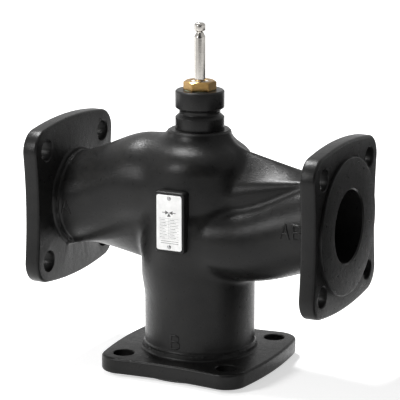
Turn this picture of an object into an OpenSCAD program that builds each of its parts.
// Three-way flanged control valve, nominal size 65, grey cast iron.
// Millimetres, +Z up. The origin is the middle of the sealing face of the bottom
// port B. Port A faces -X, port AB faces +X, and the type plate faces -Y.
// The valve is drawn with its stem fully up, which shuts port A.

/* [Flanges] */
// Length from the face of port A to the face of port AB
face_to_face = 290; // [280:1:300]
// Height of the A to AB pipe axis above the face of port B
port_drop = 145; // [138:1:155]
// Bore of ports A and AB
port_bore = 65; // [58:1:67]
// Diameter of the circle of bolt holes
bolt_circle = 145; // [140:1:148]
// Diameter of a bolt hole
bolt_hole_d = 19; // [14:0.5:20]
// Thickness of a flange plate behind its raised face
plate_t = 14.5; // [12:0.5:17]
// Diameter of a raised sealing face
raised_face_d = 122; // [112:1:123]
// Height of a raised sealing face
raised_face_t = 3; // [1:0.5:4]
// Radius of the flange corners round the bolt holes
corner_r = 20; // [17:0.5:22]
// Half size of a flange across its bowed sides
bow_reach = 75.2; // [73.4:0.2:77]
// Half size of a flange across its waisted sides
waist_reach = 68; // [65:0.5:69.5]
// Chamfer along the flange edges
flange_edge = 1.6; // [0.6:0.2:2.4]

/* [Casting] */
// Outer diameter of the A and AB pipes behind their flanges
pipe_d = 83; // [80:1:88]
// Outer diameter of the B barrel
barrel_d = 99.8; // [96:0.2:104]
// Height of the upper chamber's centre above the pipe axis
upper_rise = 21; // [17:0.5:24]
// Depth of the middle chamber's centre below the pipe axis
middle_drop = 21.5; // [19:0.5:24]
// Outer diameter of the tower round the upper chamber
tower_d = 97; // [94:0.5:101]
// Height of the tower's shoulder above the pipe axis
tower_rise = 63; // [60:0.5:66]
// Diameter of the boss that takes the neck
boss_d = 55.4; // [54:0.2:60]
// Height of the boss's top face above the pipe axis
boss_rise = 74; // [71:0.5:78]
// Radius of the fillet between a pipe and its flange
root_fillet = 7; // [4:0.5:10]
// Reach of the soft blends between the casting's forms
blend = 8; // [5:0.5:12]

/* [Seats and plugs] */
// Stroke of the stem
stroke = 20; // [16:0.5:22]
// Bore of the two seat rings
throat_d = 59; // [54:0.5:60]
// Depth of the upper seat's face below the pipe axis
upper_seat_drop = 6; // [3:0.5:8]
// Thickness of the two plug discs together
disc_t = 14; // [12:0.5:16]
// Outer diameter of the plug discs
disc_d = 66; // [65:0.2:66.4]
// Wall of the plug skirts
skirt_wall = 3.4; // [2.4:0.2:4.6]
// Length of a skirt that still guides at the end of the stroke
skirt_grip = 8; // [6:0.5:10]
// Number of windows round a skirt
window_count = 4; // [3:1:5]
// Diameter of the hub of a plug
hub_d = 18; // [16:0.5:22]
// Height of the hub of a plug above its disc
hub_h = 9; // [8:0.5:12]
// Height of the upper seat ring
seat_h = 10; // [8:0.5:11]
// Height of the flange of the lower seat ring
seat_flange_h = 7; // [5:0.5:9]
// Height of the lower seat's lip above its shoulder
seat_lip_h = 7.8; // [6:0.2:9]
// Bore of the B barrel
barrel_bore = 75; // [74.6:0.2:78]

/* [Stem] */
// Diameter of the stem
stem_d = 10; // [9:0.2:11]
// Length of the stem above the gland nut
stem_reach = 51.5; // [46:0.5:58]
// Diameter of the groove under the stem's head
head_groove_d = 6.5; // [5:0.1:7.5]
// Height of the stem's head
head_h = 6.6; // [5:0.2:8]
// Height of the groove and its two flanks
head_neck_h = 5.7; // [4.5:0.1:7]
// Diameter of the stem's tail that carries the plugs
tail_d = 8; // [6.6:0.2:8.4]
// Diameter of the pin through the upper hub
pin_d = 3; // [2:0.1:3.4]

/* [Neck and gland] */
// Diameter of the neck
neck_d = 44; // [42:0.5:46]
// Diameter of the clamp groove in the neck
clamp_groove_d = 37; // [34:0.5:40]
// Height of the collar between the boss and the clamp groove
collar_h = 11; // [8:0.5:14]
// Height of the lower flank of the clamp groove
lower_flank_h = 3.1; // [2:0.1:4.5]
// Height of the floor of the clamp groove
groove_floor_h = 3; // [2:0.1:5]
// Height of the upper flank of the clamp groove
upper_flank_h = 2.6; // [2:0.1:4.5]
// Height of the ring above the clamp groove
clamp_ring_h = 15.5; // [14:0.5:20]
// Diameter of the neck's spigot in the boss
spigot_d = 40; // [37:0.5:41]
// Length of the neck's spigot
spigot_h = 16; // [14:0.5:19]
// Outer diameter of the neck's guide bush
neck_bush_d = 18; // [15:0.5:20]
// Length of the neck's guide bush
neck_bush_h = 15; // [12:0.5:15.5]
// Size of the gland nut across its flats
nut_flats = 26; // [25:0.5:28]
// Height of the gland nut's head
nut_h = 8.3; // [7:0.1:10]
// Diameter of the gland nut's sleeve
sleeve_d = 23.9; // [22:0.1:24.4]
// Length of the gland nut's sleeve
sleeve_h = 19.2; // [18.6:0.2:21]
// Bore of the sleeve, which holds the stem packing
gland_bore = 17; // [16:0.1:18]
// Length of the gland's guide bush
gland_bush_h = 6; // [5:0.2:7]
// Height of the spacer between the two O-rings
gland_spacer_h = 2.5; // [1.6:0.1:3]
// Thickness of the circlip under the gland's guide bush
circlip_t = 1.1; // [0.8:0.1:1.4]
// Diameter of the recess for the wiper ring
wiper_d = 16; // [14:0.5:18]
// Height of the wiper ring
wiper_h = 2; // [1.4:0.1:2.6]

/* [Type plate] */
// Width of the type plate
plate_w = 24.5; // [20:0.5:26]
// Height of the type plate
plate_h = 49.6; // [44:0.5:50.5]
// Thickness of the type plate
plate_sheet = 0.8; // [0.5:0.1:1.2]
// Width of the pad that carries the plate
pad_w = 28.6; // [28:0.2:32]
// Height of the pad
pad_h = 54.6; // [53:0.2:58]
// Height of the pad's face over the barrel or the tower, whichever is wider
pad_proud = 7.3; // [6.2:0.1:10]
// Diameter of the head of a drive rivet
rivet_head_d = 3.8; // [3:0.1:4.6]
// Distance from the plate's ends to the rivets
rivet_inset = 2.9; // [2.5:0.1:4]

/* [Hidden] */
$fn = 64;

// Colours
iron = [0.14, 0.14, 0.14];
brass = [0.72, 0.62, 0.42];
steel = [0.74, 0.75, 0.76];
bronze = [0.62, 0.45, 0.25];
rubber = [0.08, 0.08, 0.08];
fibre = [0.45, 0.52, 0.42];
ptfe = [0.92, 0.92, 0.90];

// Clearances and overruns
fit = 0.05;          // between two still pieces that fit round each other
slide = 0.05;        // round the stem where it slides
guide_gap = 0.1;     // between a skirt and its throat
seat_gap = 0.1;      // between a disc and the seat that it shuts
over = 1;            // how far a cut runs past the face that it opens

// Radii that many pieces share
stem_r = stem_d / 2;
stem_bore_r = stem_r + slide;
neck_r = neck_d / 2;
pipe_r = pipe_d / 2;
half_run = face_to_face / 2;

// Levels of the seats and plugs, from the bottom face up
axis_z = port_drop;
upper_seat_z = axis_z - upper_seat_drop;
disc_top_z = upper_seat_z - seat_gap;
disc_mid_z = disc_top_z - disc_t / 2;
disc_low_z = disc_top_z - disc_t;
lower_seat_z = disc_low_z - stroke - seat_gap;
skirt_h = stroke + skirt_grip;
seat_ledge_t = 2;
upper_floor_z = upper_seat_z + seat_h + seat_ledge_t;
gasket_t = 1;
seat_shoulder_z = lower_seat_z - seat_lip_h;
seat_flange_top_z = seat_shoulder_z - gasket_t;
seat_flange_low_z = seat_flange_top_z - seat_flange_h;

// Radii of the seat rings, each free to pass the one below it
throat_r = throat_d / 2;
disc_r = disc_d / 2;
disc_margin = 0.8;
seat_flange_w = 3.2;
seat_ledge_w = 2;
seat_lip_r = disc_r + disc_margin;
seat_flange_r = seat_lip_r + seat_flange_w;
seat_ledge_r = throat_r + seat_ledge_w;
seat_chamfer = 0.8;

// Levels of the neck and gland
boss_top_z = axis_z + boss_rise;
collar_top_z = boss_top_z + collar_h;
groove_low_z = collar_top_z + lower_flank_h;
groove_high_z = groove_low_z + groove_floor_h;
ring_low_z = groove_high_z + upper_flank_h;
neck_top_z = ring_low_z + clamp_ring_h;
spigot_low_z = boss_top_z - spigot_h;
neck_gasket_t = 1.5;
neck_ledge_z = spigot_low_z - neck_gasket_t;
nut_top_z = neck_top_z + nut_h;
sleeve_low_z = neck_top_z - sleeve_h;
stem_top_z = nut_top_z + stem_reach;

// Soft joins of distances, for the casting's skin
function smooth_min(a, b, k) =
    let (h = max(k - abs(a - b), 0) / k) min(a, b) - h * h * k / 4;
function smooth_max(a, b, k) = -smooth_min(-a, -b, k);
function ease(t) = let (u = min(max(t, 0), 1)) u * u * (3 - 2 * u);

// How the pipes swing from the flanges to their chambers. Each value is a share of
// the half length, or of the pipe's radius at the flange.
swing_start_share = 0.83;
swing_end_share = 0.14;
squash_start_share = 0.62;
upper_height_share = 1.13;
upper_width_share = 1.09;
middle_height_share = 0.875;
middle_width_share = 1.19;

function swing(x) =
    ease((swing_start_share - abs(x) / half_run) / (swing_start_share - swing_end_share));
function squash(x) =
    ease((squash_start_share - abs(x) / half_run) / (squash_start_share - swing_end_share));

// Distance to an oval pipe that runs out to one side and ends past the stem axis
function oval_pipe(p, side, lift, height_share, width_share) =
    let (
        x = p[0] * side,
        h = pipe_r * (1 + (height_share - 1) * squash(max(x, 0))),
        w = pipe_r * (1 + (width_share - 1) * squash(max(x, 0))),
        v = [p[1] / w, (p[2] - lift * swing(max(x, 0))) / h, min(x, 0) / h]
    ) (norm(v) - 1) * min(h, w);

// Distance to the drop-shaped web that closes a chamber towards the far flange. Its
// top runs straight, and its eave spreads as it nears the stem.
web_inner_share = 0.345;
web_outer_share = 0.76;
web_round = 5;
function web(p, side, tops, eaves, widths) =
    let (
        x = p[0] * side,
        z = p[2] * side,
        t = (x / half_run - web_inner_share) / (web_outer_share - web_inner_share),
        top = tops[0] + (tops[1] - tops[0]) * t,
        eave = eaves[0] + (eaves[1] - eaves[0]) * t,
        w = widths[0] + (widths[1] - widths[0]) * t,
        y = norm([p[1], web_round]) - web_round,
        roof = (y * (top - eave) + (z - top) * w) / norm([top - eave, w]),
        d = smooth_max(roof, abs(p[1]) - w, blend)
    ) max(d, x - half_run + plate_t, blend - x, -z);

// Heights and half widths of the webs at their inner and outer ends, as shares of
// the pipe's radius at the flange
upper_web_tops = pipe_r * [1.38, 1.025];
upper_web_eaves = pipe_r * [0.60, 0.89];
upper_web_widths = pipe_r * [0.58, 0.46];
lower_web_tops = pipe_r * [1.26, 0.975];
lower_web_eaves = pipe_r * [0.39, 0.87];
lower_web_widths = pipe_r * [0.60, 0.48];

// The tower and the middle chamber lean a little away from the stem axis
tower_lean = 4;
chamber_lean = -7;
shoulder_r = 22;
chamber_r = tower_d / 2;
chamber_low = -52;

function round_drum(p, r, z0, z1, round_r) =
    let (
        a = norm([p[0], p[1]]) - r + round_r,
        b = abs(p[2] - (z0 + z1) / 2) - (z1 - z0) / 2 + round_r
    ) min(max(a, b), 0) + norm([max(a, 0), max(b, 0)]) - round_r;

function capsule(p, r, z0, z1) =
    norm([p[0], p[1], p[2] - min(max(p[2], z0), z1)]) - r;

// Distance to the whole skin, for a point measured from the pipe axis
function skin(p) =
    let (
        a = oval_pipe(p, -1, upper_rise, upper_height_share, upper_width_share),
        b = oval_pipe(p, 1, -middle_drop, middle_height_share, middle_width_share),
        tower = round_drum([p[0] - tower_lean, p[1], p[2]], tower_d / 2,
                           -middle_drop, tower_rise, shoulder_r),
        chamber = capsule([p[0] - chamber_lean, p[1], p[2]], chamber_r,
                          chamber_low, 0),
        barrel = max(norm([p[0], p[1]]) - barrel_d / 2, p[2]),
        boss = max(norm([p[0], p[1]]) - boss_d / 2, shoulder_r - p[2]),
        upper = web(p, 1, upper_web_tops, upper_web_eaves, upper_web_widths),
        lower = web(p, -1, lower_web_tops, lower_web_eaves, lower_web_widths),
        d1 = smooth_min(a, b, blend),
        d2 = smooth_min(d1, barrel, blend),
        d3 = smooth_min(d2, chamber, blend),
        d4 = smooth_min(d3, tower, blend),
        d5 = smooth_min(d4, upper, blend),
        d6 = smooth_min(d5, lower, blend)
    ) smooth_min(d6, boss, 1.5 * blend);

// A point of the skin, walked outward from a point inside it
function walk(p, dir, steps) =
    steps == 0 ? p : walk(p - dir * skin(p), dir, steps - 1);

// The skin is four tubes of rings, one for each way out of the middle. They share
// the rays between them, along the diagonals. A tube has its axis out, its side
// direction, and the distances of its rings as shares of its reach.
ring_points = 32;
walk_steps = 18;
run_shares = [0.07, 0.14, 0.21, 0.28, 0.34, 0.4, 0.46, 0.52, 0.58, 0.64, 0.7, 0.76,
              0.82, 0.88, 0.93];
rise_shares = [0.12, 0.25, 0.38, 0.5, 0.6, 0.68, 0.75, 0.81, 0.86, 0.9, 0.935, 0.965, 1];
fall_shares = [0.09, 0.18, 0.26, 0.33, 0.4, 0.47, 0.55, 0.7, 0.85, 0.93];
// Where each tube's rings stop slanting, as a share of its reach. The tower's slant
// further up, so that no ray runs along the inside of a pipe.
straight_shares = [0.45, 0.45, 0.8, 0.45];

// Lift of a tube's own middle line above the pipe axis
function spine(axis, out) =
    axis[0] == 0 ? [0, 0, 0]
    : [0, 0, axis[0] < 0 ? upper_rise * swing(out) / 2 : -middle_drop * swing(out) / 2];

// A quarter-round flare where a tube meets its flange plate
function flare(gap) =
    gap >= root_fillet ? 0
    : root_fillet - sqrt(root_fillet * root_fillet - pow(root_fillet - max(gap, 0), 2));

function ring(axis, side, out, straight_at, flange_gap) =
    let (
        bend = max(1 - out / straight_at, 0),
        start = axis * out + spine(axis, out) * (1 - bend)
    )
    [for (j = [0 : ring_points - 1])
        let (
            turn = 360 * j / ring_points,
            dir = [0, cos(turn), 0] + side * sin(turn) + axis * bend * abs(sin(turn)),
            unit = dir / norm(dir)
        )
        walk(start, unit, walk_steps) + unit * flare(flange_gap)];

// Rays along one diagonal, without the two that lie on the Y axis
function seam(axis, side) =
    [for (j = [1 : ring_points / 2 - 1])
        let (
            turn = 360 * j / ring_points,
            dir = [0, cos(turn), 0] + (side + axis) * sin(turn)
        )
        walk([0, 0, 0], dir / norm(dir), walk_steps)];

module casting_skin() {
    plate_gap = half_run - raised_face_t - plate_t;
    drop_gap = port_drop - raised_face_t - plate_t;
    reaches = [half_run, half_run, boss_rise, port_drop];
    shares = [run_shares, run_shares, rise_shares, fall_shares];
    gaps = [plate_gap, plate_gap, 2 * boss_rise, drop_gap];
    axes = [[1, 0, 0], [-1, 0, 0], [0, 0, 1], [0, 0, -1]];
    sides = [[0, 0, 1], [0, 0, 1], [1, 0, 0], [1, 0, 0]];
    half = ring_points / 2;
    seam_axes = [[1, 0, 1], [1, 0, -1], [-1, 0, 1], [-1, 0, -1]];
    poles = [walk([0, 0, 0], [0, 1, 0], walk_steps), walk([0, 0, 0], [0, -1, 0], walk_steps)];
    seams = [for (s = seam_axes) each seam([s[0], 0, 0], [0, 0, s[2]])];
    // Rings just short of the flange plate, packed closer inside the fillet
    fillet_gaps = root_fillet * [1, 0.6, 0.3, 0.1, -0.2];
    function outs(k) = k == 2 ? [for (s = shares[k]) s * reaches[k]]
        : concat([for (s = shares[k]) if (s * reaches[k] < gaps[k] - root_fillet) s * reaches[k]],
                 [for (g = fillet_gaps) gaps[k] - g], [gaps[k] + plate_t / 2]);
    rings = [for (k = [0 : 3])
        [for (o = outs(k))
            ring(axes[k], sides[k], o, straight_shares[k] * reaches[k], gaps[k] - o)]];
    starts = [for (k = [0 : 3]) 2 + len(seams) + ring_points
        * (k == 0 ? 0 : k == 1 ? len(rings[0]) : k == 2 ? len(rings[0]) + len(rings[1])
           : len(rings[0]) + len(rings[1]) + len(rings[2]))];
    // Which seam a tube shares on the positive and the negative side of its ring
    seam_of = [[0, 1], [2, 3], [0, 2], [1, 3]];
    function seam_index(k, j) =
        j == 0 ? 0 : j == half ? 1
        : j < half ? 2 + seam_of[k][0] * (half - 1) + j - 1
        : 2 + seam_of[k][1] * (half - 1) + ring_points - j - 1;
    function index(k, i, j) =
        let (q = j % ring_points) i < 0 ? seam_index(k, q) : starts[k] + i * ring_points + q;
    function wound(k, face) =
        k == 0 || k == 3 ? face : [for (i = [len(face) - 1 : -1 : 0]) face[i]];
    walls = [for (k = [0 : 3]) for (i = [-1 : len(rings[k]) - 2])
        for (j = [0 : ring_points - 1])
            each [wound(k, [index(k, i, j), index(k, i + 1, j), index(k, i + 1, j + 1)]),
                  wound(k, [index(k, i, j), index(k, i + 1, j + 1), index(k, i, j + 1)])]];
    caps = [for (k = [0 : 3])
        wound(k, [for (j = [ring_points - 1 : -1 : 0]) index(k, len(rings[k]) - 1, j)])];
    translate([0, 0, axis_z])
        polyhedron(concat(poles, seams, [for (k = [0 : 3]) for (r = rings[k]) each r]),
                   concat(walls, caps));
}

// Flange outline: round corners on the bolt holes, joined by two bowed and two
// waisted sides whose arcs touch the corners
bolt_pitch = bolt_circle / sqrt(2);
hole_at = bolt_pitch / 2;
corner_steps = 7;
side_steps = 6;
// Radius of the arc through a side's middle that touches the corners
bow_r = let (d = bow_reach - hole_at)
    (hole_at * hole_at + d * d - corner_r * corner_r) / (2 * (d - corner_r));
waist_r = let (d = waist_reach - hole_at)
    (hole_at * hole_at + d * d - corner_r * corner_r) / (2 * (corner_r - d));

function arc(center, r, from, to, steps) =
    [for (i = [0 : steps]) center + r * [cos(from + (to - from) * i / steps),
                                         sin(from + (to - from) * i / steps)]];

// The outline drawn in by inset, anticlockwise, with the waisted sides on +-X
function flange_outline(inset) =
    let (
        r = corner_r - inset,
        bow_at = [0, bow_reach - bow_r],
        waist_at = [waist_reach + waist_r, 0],
        high = atan2(hole_at - bow_at[1], hole_at),
        low = atan2(-hole_at, waist_at[0] - hole_at),
        corner = arc([hole_at, hole_at], r, low, high, corner_steps),
        bow = arc(bow_at, bow_r - inset, high, 180 - high, side_steps),
        waist = arc(waist_at, waist_r + inset, 180 - low, 180 + low, side_steps),
        inner = [1 : side_steps - 1],
        back = [corner_steps : -1 : 0]
    )
    concat(
        corner,
        [for (i = inner) bow[i]],
        [for (i = back) [-corner[i][0], corner[i][1]]],
        [for (i = inner) -waist[i]],
        [for (q = corner) -q],
        [for (i = inner) -bow[i]],
        [for (i = back) [corner[i][0], -corner[i][1]]],
        [for (i = inner) waist[i]]
    );

// A flange plate from z = 0 up, with its two edges chamfered
module flange_plate() {
    levels = [[0, flange_edge], [flange_edge, 0], [plate_t - flange_edge, 0],
              [plate_t, flange_edge]];
    outlines = [for (v = levels) flange_outline(v[1])];
    n = len(outlines[0]);
    rows = len(levels);
    rims = [for (i = [0 : rows - 1]) for (q = outlines[i]) [q[0], q[1], levels[i][0]]];
    walls = [for (i = [0 : rows - 2]) for (j = [0 : n - 1])
        let (k = (j + 1) % n)
        [i * n + j, (i + 1) * n + j, (i + 1) * n + k, i * n + k]];
    floor_fan = [for (j = [0 : n - 1]) [rows * n, j, (j + 1) % n]];
    roof_fan = [for (j = [0 : n - 1])
        [rows * n + 1, (rows - 1) * n + (j + 1) % n, (rows - 1) * n + j]];
    polyhedron(concat(rims, [[0, 0, 0], [0, 0, plate_t]]),
               concat(walls, floor_fan, roof_fan));
}

// Places a flange that is drawn with its sealing face down at z = 0 onto a port
module at_port_a() translate([-half_run, 0, axis_z]) rotate([90, 0, 90]) children();
module at_port_ab() translate([half_run, 0, axis_z]) rotate([90, 0, -90]) children();
module at_port_b() rotate([0, 0, 90]) children();

module flange() {
    translate([0, 0, raised_face_t])
        flange_plate();
    cylinder(d = raised_face_d, h = raised_face_t + over);
}

bore_edge = 1.2;
module bolt_holes() {
    for (u = [-1, 1])
        for (v = [-1, 1])
            translate([u * hole_at, v * hole_at, -over])
                cylinder(d = bolt_hole_d, h = raised_face_t + plate_t + 2 * over);
}

// A bore with a chamfered mouth at z = 0
module port_mouth(d, depth) {
    translate([0, 0, -over])
        cylinder(d = d, h = depth + over);
    translate([0, 0, -over])
        cylinder(d1 = d + 2 * (bore_edge + over), d2 = d, h = bore_edge + over);
}

// A cone or cylinder from one point to another
module cone_between(p, q, r1, r2) {
    v = q - p;
    translate(p)
        rotate([0, acos(v[2] / norm(v)), atan2(v[1], v[0])])
            cylinder(h = norm(v), r1 = r1, r2 = r2);
}

// A solid turned round the stem axis, from its profile
module turned(profile) rotate_extrude() polygon(profile);

// A round ring that stands on z
module ring_piece(r_in, r_out, z, h) {
    translate([0, 0, z])
        difference() {
            cylinder(r = r_out, h = h);
            translate([0, 0, -over])
                cylinder(r = r_in, h = h + 2 * over);
        }
}

// Inside of the casting
port_r = port_bore / 2;
knee_share = 0.72;
knee_x = half_run * knee_share;
chamber_bore_r = 41;
chamber_round = 9;
round_steps = 5;
chamber_roof_t = 13;
upper_chamber_top_z = axis_z + tower_rise - chamber_roof_t;
upper_dome_r = 19;
seat_proud = 1.8;
middle_roof_z = upper_seat_z;
middle_floor_z = lower_seat_z - seat_proud;
upper_way_r = 25.5;
upper_way_x = 31;
knee_swell = 0.7;
middle_way_r = (middle_roof_z - middle_floor_z) / 2;
middle_way_in = 26;
middle_way_spread = 12;
neck_bore_r = 15;

// The way that climbs from port A to the upper chamber, with a ball at either end
module upper_way() {
    knee = [-knee_x, 0, axis_z];
    inner = [-upper_way_x, 0, upper_floor_z + upper_way_r + 2 * knee_swell];
    translate(knee)
        sphere(r = port_r + knee_swell);
    cone_between(knee, inner, port_r, upper_way_r);
    translate(inner)
        sphere(r = upper_way_r + knee_swell);
}

// A flat, wide way that swings down from port AB to the middle chamber
module middle_way() {
    z = (middle_roof_z + middle_floor_z) / 2;
    hull() {
        translate([knee_x, 0, axis_z])
            rotate([0, 90, 0])
                cylinder(r = port_r - fit, h = over, $fn = 32);
        for (y = middle_way_spread * [-1, 1])
            translate([middle_way_in, y, z])
                rotate([0, 90, 0])
                    cylinder(r = middle_way_r - fit, h = over, $fn = 32);
    }
}

module upper_chamber() {
    turned(concat(
        [[0, upper_floor_z], [chamber_bore_r, upper_floor_z]],
        arc([chamber_bore_r - upper_dome_r, upper_chamber_top_z - upper_dome_r],
            upper_dome_r, 0, 90, round_steps),
        [[0, upper_chamber_top_z]]));
}

module middle_chamber() {
    turned(concat(
        [[0, middle_floor_z]],
        arc([chamber_bore_r - chamber_round, middle_floor_z + chamber_round],
            chamber_round, -90, 0, round_steps),
        arc([chamber_bore_r - chamber_round, middle_roof_z - chamber_round],
            chamber_round, 0, 90, round_steps),
        [[0, middle_roof_z]]));
}

// The bored seats and spigot hole, one above the other
module stem_line_bores() {
    barrel_r = barrel_bore / 2;
    turned([
        [0, seat_flange_low_z - over], [barrel_r, seat_flange_low_z - over],
        [barrel_r, seat_flange_low_z], [seat_flange_r + fit, seat_flange_low_z],
        [seat_flange_r + fit, seat_shoulder_z], [seat_lip_r + fit, seat_shoulder_z],
        [seat_lip_r + fit, upper_seat_z + seat_h], [seat_ledge_r, upper_seat_z + seat_h],
        [seat_ledge_r, upper_floor_z + over], [0, upper_floor_z + over]]);
    turned([
        [0, upper_chamber_top_z - over], [neck_bore_r, upper_chamber_top_z - over],
        [neck_bore_r, neck_ledge_z], [spigot_d / 2 + fit, neck_ledge_z],
        [spigot_d / 2 + fit, boss_top_z + over], [0, boss_top_z + over]]);
}

// A plate with round corners, standing in the XZ plane, from y up by depth
module standing_plate(w, h, r, y, depth) {
    translate([plate_shift, y + depth, axis_z])
        rotate([90, 0, 0])
            linear_extrude(depth) {
                square([w - 2 * r, h], center = true);
                square([w, h - 2 * r], center = true);
                for (u = [-1, 1])
                    for (v = [-1, 1])
                        translate([u * (w / 2 - r), v * (h / 2 - r)])
                            circle(r = r);
            }
}

plate_shift = -1.7;
pad_corner_r = 2.4;
pad_reach = max(barrel_d, tower_d) / 2 + pad_proud;
plate_corner_r = 2;
plate_face_y = -pad_reach - plate_sheet;
rivet_shank_r = 1.2;
rivet_shank_h = 6;
rivet_head_h = 0.9;

// Runs children at the two rivets, with +Z pointing out of the plate
module at_rivets(y) {
    for (s = [-1, 1])
        translate([plate_shift, y, axis_z + s * (plate_h / 2 - rivet_inset)])
            rotate([90, 0, 0])
                children();
}

// The casting as it leaves the mould: one closed mesh, before any machining
module raw_casting() {
    resize([0, 0, 0])
        union() {
            casting_skin();
            at_port_a() flange();
            at_port_ab() flange();
            at_port_b() flange();
            standing_plate(pad_w, pad_h, pad_corner_r, -pad_reach,
                           pad_reach - chamber_bore_r + over);
        }
}

module valve_body() {
    color(iron)
        difference() {
            raw_casting();
            at_port_a() bolt_holes();
            at_port_ab() bolt_holes();
            at_port_b() bolt_holes();
            at_port_a() port_mouth(port_bore, half_run - knee_x);
            at_port_ab() port_mouth(port_bore, half_run - knee_x);
            port_mouth(barrel_bore, seat_flange_low_z);
            upper_way();
            upper_chamber();
            middle_way();
            middle_chamber();
            stem_line_bores();
            at_rivets(-pad_reach)
                translate([0, 0, -rivet_shank_h])
                    cylinder(r = rivet_shank_r + fit, h = rivet_shank_h + over);
        }
}

module upper_seat_ring() {
    z = upper_seat_z;
    color(steel)
        turned([
            [throat_r, z + seat_chamfer], [throat_r + seat_chamfer, z], [seat_lip_r, z],
            [seat_lip_r, z + seat_h], [throat_r, z + seat_h]]);
}

module lower_seat_ring() {
    color(steel)
        turned([
            [throat_r, seat_flange_low_z], [seat_flange_r, seat_flange_low_z],
            [seat_flange_r, seat_flange_top_z], [seat_lip_r, seat_flange_top_z],
            [seat_lip_r, lower_seat_z], [throat_r + seat_chamfer, lower_seat_z],
            [throat_r, lower_seat_z - seat_chamfer]]);
}

module lower_seat_gasket() {
    color(fibre)
        ring_piece(seat_lip_r + fit, seat_flange_r, seat_flange_top_z, gasket_t);
}

neck_edge = 1.2;
stem_room = 2;
gland_gasket_w = 1.8;
neck_free_r = stem_r + stem_room;
sleeve_r = sleeve_d / 2;
gland_pocket = 1;
neck_gasket_r = spigot_d / 2 - fit;
gland_gasket_r = sleeve_r + gland_gasket_w;

module neck() {
    color(iron)
        difference() {
            turned([
                [0, spigot_low_z], [spigot_d / 2, spigot_low_z], [spigot_d / 2, boss_top_z],
                [neck_r, boss_top_z], [neck_r, collar_top_z],
                [clamp_groove_d / 2, groove_low_z], [clamp_groove_d / 2, groove_high_z],
                [neck_r, ring_low_z], [neck_r, neck_top_z - neck_edge],
                [neck_r - neck_edge, neck_top_z], [0, neck_top_z]]);
            translate([0, 0, spigot_low_z - over])
                cylinder(d = neck_bush_d + 2 * fit, h = neck_bush_h + over);
            translate([0, 0, spigot_low_z])
                cylinder(r = neck_free_r, h = neck_top_z - spigot_low_z);
            translate([0, 0, sleeve_low_z - gland_pocket])
                cylinder(r = sleeve_r + fit, h = sleeve_h + gland_pocket + over);
            translate([0, 0, neck_top_z - gasket_t])
                cylinder(r = gland_gasket_r + fit, h = gasket_t + over);
        }
}

module neck_gasket() {
    color(fibre)
        ring_piece(neck_bore_r, neck_gasket_r, neck_ledge_z, neck_gasket_t);
}

module neck_guide_bush() {
    color(bronze)
        ring_piece(stem_bore_r, neck_bush_d / 2, spigot_low_z, neck_bush_h);
}

// Packing in the gland nut, from the circlip at the bottom to the upper O-ring
gland_r = gland_bore / 2;
circlip_edge = 0.8;
circlip_bite = 0.8;
circlip_band = 2.2;
circlip_gap = 6;
circlip_z = sleeve_low_z + circlip_edge;
gland_bush_z = circlip_z + circlip_t + slide;
o_ring_r = (gland_r - fit - stem_bore_r) / 2;
o_ring_center_r = stem_bore_r + o_ring_r;
lower_o_ring_z = gland_bush_z + gland_bush_h + o_ring_r;
gland_spacer_z = lower_o_ring_z + o_ring_r;
upper_o_ring_z = gland_spacer_z + gland_spacer_h + o_ring_r;
packing_top_z = upper_o_ring_z + o_ring_r + fit;
wiper_sink = 0.4;
wiper_z = nut_top_z - wiper_sink - wiper_h;
nut_bevel = 1.1;
nut_turn = 26.5;
nut_corner_r = nut_flats / 2 / cos(30);

module gland_nut() {
    color(brass)
        difference() {
            union() {
                intersection() {
                    translate([0, 0, neck_top_z])
                        rotate(nut_turn)
                            cylinder(r = nut_corner_r, h = nut_h, $fn = 6);
                    turned([
                        [0, neck_top_z - over], [nut_corner_r + over, neck_top_z - over],
                        [nut_corner_r + over, nut_top_z - nut_bevel - over * tan(30)],
                        [nut_corner_r - nut_bevel / tan(30), nut_top_z], [0, nut_top_z]]);
                }
                translate([0, 0, sleeve_low_z])
                    cylinder(r = sleeve_r, h = sleeve_h + over);
            }
            turned([
                [0, sleeve_low_z - over], [gland_r, sleeve_low_z - over],
                [gland_r, circlip_z - slide], [gland_r + circlip_bite, circlip_z - slide],
                [gland_r + circlip_bite, circlip_z + circlip_t + slide],
                [gland_r, circlip_z + circlip_t + slide], [gland_r, packing_top_z],
                [stem_bore_r + 4 * slide, packing_top_z], [stem_bore_r + 4 * slide, wiper_z],
                [wiper_d / 2, wiper_z], [wiper_d / 2, nut_top_z + over],
                [0, nut_top_z + over]]);
        }
}

module gland_gasket() {
    color(fibre)
        ring_piece(sleeve_r + fit, gland_gasket_r, neck_top_z - gasket_t, gasket_t);
}

module gland_circlip() {
    r_out = gland_r + circlip_bite - fit;
    color(steel)
        difference() {
            ring_piece(r_out - circlip_band, r_out, circlip_z, circlip_t);
            translate([0, -circlip_gap / 2, circlip_z - over])
                cube([gland_r + circlip_bite + over, circlip_gap, circlip_t + 2 * over]);
        }
}

module gland_guide_bush() {
    color(bronze)
        ring_piece(stem_bore_r, gland_r - fit, gland_bush_z, gland_bush_h);
}

module stem_o_rings() {
    color(rubber)
        for (z = [lower_o_ring_z, upper_o_ring_z])
            translate([0, 0, z])
                rotate_extrude()
                    translate([o_ring_center_r, 0])
                        circle(r = o_ring_r, $fn = 24);
}

module gland_spacer() {
    color(steel)
        ring_piece(stem_bore_r, gland_r - fit, gland_spacer_z, gland_spacer_h);
}

module wiper_ring() {
    color(ptfe)
        ring_piece(stem_bore_r, wiper_d / 2 - fit, wiper_z, wiper_h);
}

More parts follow.
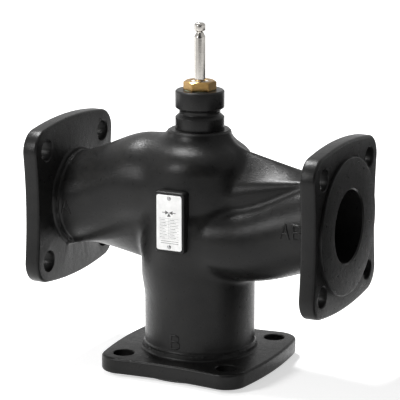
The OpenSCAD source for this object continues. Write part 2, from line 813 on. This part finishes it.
// The stem and what it carries
tail_r = tail_d / 2;
tail_edge = 0.8;
pin_r = pin_d / 2;
pin_fit = 0.03;
hub_top_z = disc_top_z + hub_h;
hub_low_z = disc_low_z - hub_h;
pin_z = disc_top_z + hub_h / 2;
washer_d = 16;
washer_t = 1.6;
plug_nut_flats = 13;
plug_nut_h = 6.5;
tail_out = 2;
tail_low_z = hub_low_z - washer_t - plug_nut_h - tail_out;
head_low_z = stem_top_z - head_h;
head_crown = 1.8;
groove_flat = 0.6;
groove_upper_share = 0.3;

module stem() {
    groove_r = head_groove_d / 2;
    groove_top_z = head_low_z - groove_upper_share * head_neck_h;
    color(steel)
        difference() {
            turned(concat(
                [[0, tail_low_z], [tail_r - tail_edge, tail_low_z],
                 [tail_r, tail_low_z + tail_edge], [tail_r, hub_top_z], [stem_r, hub_top_z],
                 [stem_r, head_low_z - head_neck_h], [groove_r, groove_top_z - groove_flat],
                 [groove_r, groove_top_z], [stem_r, head_low_z]],
                arc([stem_r - head_crown, stem_top_z - head_crown], head_crown, 0, 90,
                    round_steps),
                [[0, stem_top_z]]));
            translate([-tail_r - over, 0, pin_z])
                rotate([0, 90, 0])
                    cylinder(r = pin_r + pin_fit, h = tail_d + 2 * over);
        }
}

skirt_r = throat_r - guide_gap;
disc_edge = 1.2;
web_sink = 3;
window_low = 1.5;
window_rim = 5;
window_low_w = 10;
window_high_w = 28;

// One plug, drawn from the plane where the two meet
module plug() {
    top = disc_t / 2;
    difference() {
        turned([
            [tail_r + fit, 0], [disc_r, 0], [disc_r, top - disc_edge], [disc_r - disc_edge, top],
            [skirt_r, top], [skirt_r, top + skirt_h], [skirt_r - skirt_wall, top + skirt_h],
            [skirt_r - skirt_wall, top - web_sink], [hub_d / 2, top - web_sink],
            [hub_d / 2, top + hub_h], [tail_r + fit, top + hub_h]]);
        for (i = [0 : window_count - 1])
            rotate(360 * (i + 0.5) / window_count)
                translate([hub_d / 2 + over, 0, 0])
                    rotate([90, 0, 90])
                        linear_extrude(skirt_r)
                            polygon([
                                [-window_low_w / 2, top + window_low],
                                [window_low_w / 2, top + window_low],
                                [window_high_w / 2, top + skirt_h - window_rim],
                                [-window_high_w / 2, top + skirt_h - window_rim]]);
    }
}

module upper_plug() {
    color(steel)
        difference() {
            translate([0, 0, disc_mid_z])
                plug();
            translate([-hub_d / 2 - over, 0, pin_z])
                rotate([0, 90, 0])
                    cylinder(r = pin_r + pin_fit, h = hub_d + 2 * over);
        }
}

module lower_plug() {
    color(steel)
        translate([0, 0, disc_mid_z])
            mirror([0, 0, 1])
                plug();
}

module plug_washer() {
    color(steel)
        ring_piece(tail_r + fit, washer_d / 2, hub_low_z - washer_t, washer_t);
}

module plug_nut() {
    color(steel)
        translate([0, 0, hub_low_z - washer_t - plug_nut_h])
            difference() {
                cylinder(r = plug_nut_flats / 2 / cos(30), h = plug_nut_h, $fn = 6);
                translate([0, 0, -over])
                    cylinder(r = tail_r + fit, h = plug_nut_h + 2 * over);
            }
}

module plug_pin() {
    color(steel)
        translate([-hub_d / 2, 0, pin_z])
            rotate([0, 90, 0])
                cylinder(r = pin_r, h = hub_d);
}

module type_plate() {
    color("white")
        difference() {
            standing_plate(plate_w, plate_h, plate_corner_r, plate_face_y, plate_sheet);
            at_rivets(plate_face_y)
                translate([0, 0, -plate_sheet - over])
                    cylinder(r = rivet_shank_r + fit, h = plate_sheet + 2 * over);
        }
}

module plate_rivets() {
    color(steel)
        at_rivets(plate_face_y) {
            translate([0, 0, over - plate_sheet - rivet_shank_h])
                cylinder(r = rivet_shank_r,
                         h = plate_sheet + rivet_shank_h - over + rivet_head_h / 2);
            turned([
                [0, 0], [rivet_head_d / 2, 0], [rivet_head_d / 2, rivet_head_h / 2],
                [rivet_head_d / 4, rivet_head_h], [0, rivet_head_h]]);
        }
}

valve_body();
upper_seat_ring();
lower_seat_ring();
lower_seat_gasket();
neck();
neck_gasket();
neck_guide_bush();
gland_nut();
gland_gasket();
gland_circlip();
gland_guide_bush();
stem_o_rings();
gland_spacer();
wiper_ring();
stem();
upper_plug();
lower_plug();
plug_washer();
plug_nut();
plug_pin();
type_plate();
plate_rivets();
